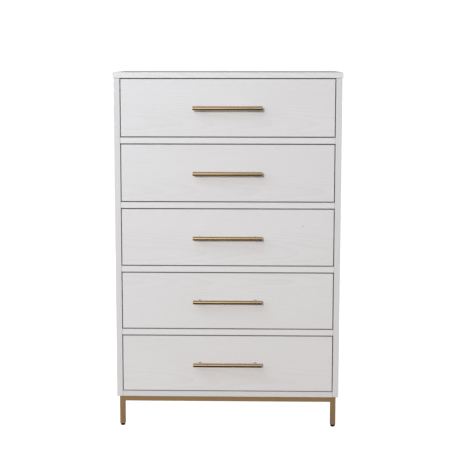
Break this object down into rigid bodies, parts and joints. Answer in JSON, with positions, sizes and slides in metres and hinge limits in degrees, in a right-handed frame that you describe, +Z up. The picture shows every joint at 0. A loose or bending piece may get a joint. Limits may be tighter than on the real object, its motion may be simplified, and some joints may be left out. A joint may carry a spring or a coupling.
{
  "type": "chest of drawers",
  "caption": "Tall white-washed wooden chest of drawers with flat inset fronts, slim round brass bar pulls and a welded square-tube brass base on small black glides.",
  "frame": {"origin": "centre of the footprint on the floor, handles included", "axes": "+Z up, -Y towards the drawer fronts and the person who opens them, +X to that person's right"},
  "size_m": [0.813, 0.4932, 1.2885],
  "materials": {
    "white_paint": "satin white-washed lacquer over fine horizontal wood grain",
    "painted_plywood": "thin white-washed plywood, flatter than the case",
    "runner_hardwood": "waxed bare hardwood, polished along the top by the drawers",
    "drawer_wood": "clear matt lacquer on pale solid wood",
    "drawer_plywood": "clear matt lacquer on pale plywood",
    "handle_brass": "fine brushed champagne brass",
    "base_brass": "satin brushed brass, darker than the handles",
    "black_nylon": "matt black moulded nylon",
    "bolt_steel": "zinc-plated steel"
  },
  "bodies": {
    "carcass": {"top_panel": "white_paint", "left_side_panel": "white_paint", "right_side_panel": "white_paint", "bottom_panel": "white_paint", "drawer_rail_1": "white_paint", "drawer_rail_2": "white_paint", "drawer_rail_3": "white_paint", "drawer_rail_4": "white_paint", "back_panel": "painted_plywood", "runner_1_left": "runner_hardwood", "runner_1_right": "runner_hardwood", "runner_2_left": "runner_hardwood", "runner_2_right": "runner_hardwood", "runner_3_left": "runner_hardwood", "runner_3_right": "runner_hardwood", "runner_4_left": "runner_hardwood", "runner_4_right": "runner_hardwood", "runner_5_left": "runner_hardwood", "runner_5_right": "runner_hardwood", "base_frame": "base_brass", "foot_front_left": "black_nylon", "foot_front_right": "black_nylon", "foot_rear_left": "black_nylon", "foot_rear_right": "black_nylon", "base_bolt_front_left": "bolt_steel", "base_bolt_front_right": "bolt_steel", "base_bolt_rear_left": "bolt_steel", "base_bolt_rear_right": "bolt_steel"},
    "drawer_1": {"drawer_1_front": "white_paint", "drawer_1_left_side": "drawer_wood", "drawer_1_right_side": "drawer_wood", "drawer_1_back": "drawer_wood", "drawer_1_bottom": "drawer_plywood", "drawer_1_handle": "handle_brass"},
    "drawer_2": {"drawer_2_front": "white_paint", "drawer_2_left_side": "drawer_wood", "drawer_2_right_side": "drawer_wood", "drawer_2_back": "drawer_wood", "drawer_2_bottom": "drawer_plywood", "drawer_2_handle": "handle_brass"},
    "drawer_3": {"drawer_3_front": "white_paint", "drawer_3_left_side": "drawer_wood", "drawer_3_right_side": "drawer_wood", "drawer_3_back": "drawer_wood", "drawer_3_bottom": "drawer_plywood", "drawer_3_handle": "handle_brass"},
    "drawer_4": {"drawer_4_front": "white_paint", "drawer_4_left_side": "drawer_wood", "drawer_4_right_side": "drawer_wood", "drawer_4_back": "drawer_wood", "drawer_4_bottom": "drawer_plywood", "drawer_4_handle": "handle_brass"},
    "drawer_5": {"drawer_5_front": "white_paint", "drawer_5_left_side": "drawer_wood", "drawer_5_right_side": "drawer_wood", "drawer_5_back": "drawer_wood", "drawer_5_bottom": "drawer_plywood", "drawer_5_handle": "handle_brass"}
  },
  "joints": [
    {"name": "drawer_1_slide", "type": "slide", "parent": "carcass", "child": "drawer_1", "axis": [0, -1, 0], "range_m": [0, 0.28]},
    {"name": "drawer_2_slide", "type": "slide", "parent": "carcass", "child": "drawer_2", "axis": [0, -1, 0], "range_m": [0, 0.28]},
    {"name": "drawer_3_slide", "type": "slide", "parent": "carcass", "child": "drawer_3", "axis": [0, -1, 0], "range_m": [0, 0.28]},
    {"name": "drawer_4_slide", "type": "slide", "parent": "carcass", "child": "drawer_4", "axis": [0, -1, 0], "range_m": [0, 0.28]},
    {"name": "drawer_5_slide", "type": "slide", "parent": "carcass", "child": "drawer_5", "axis": [0, -1, 0], "range_m": [0, 0.28]}
  ]
}
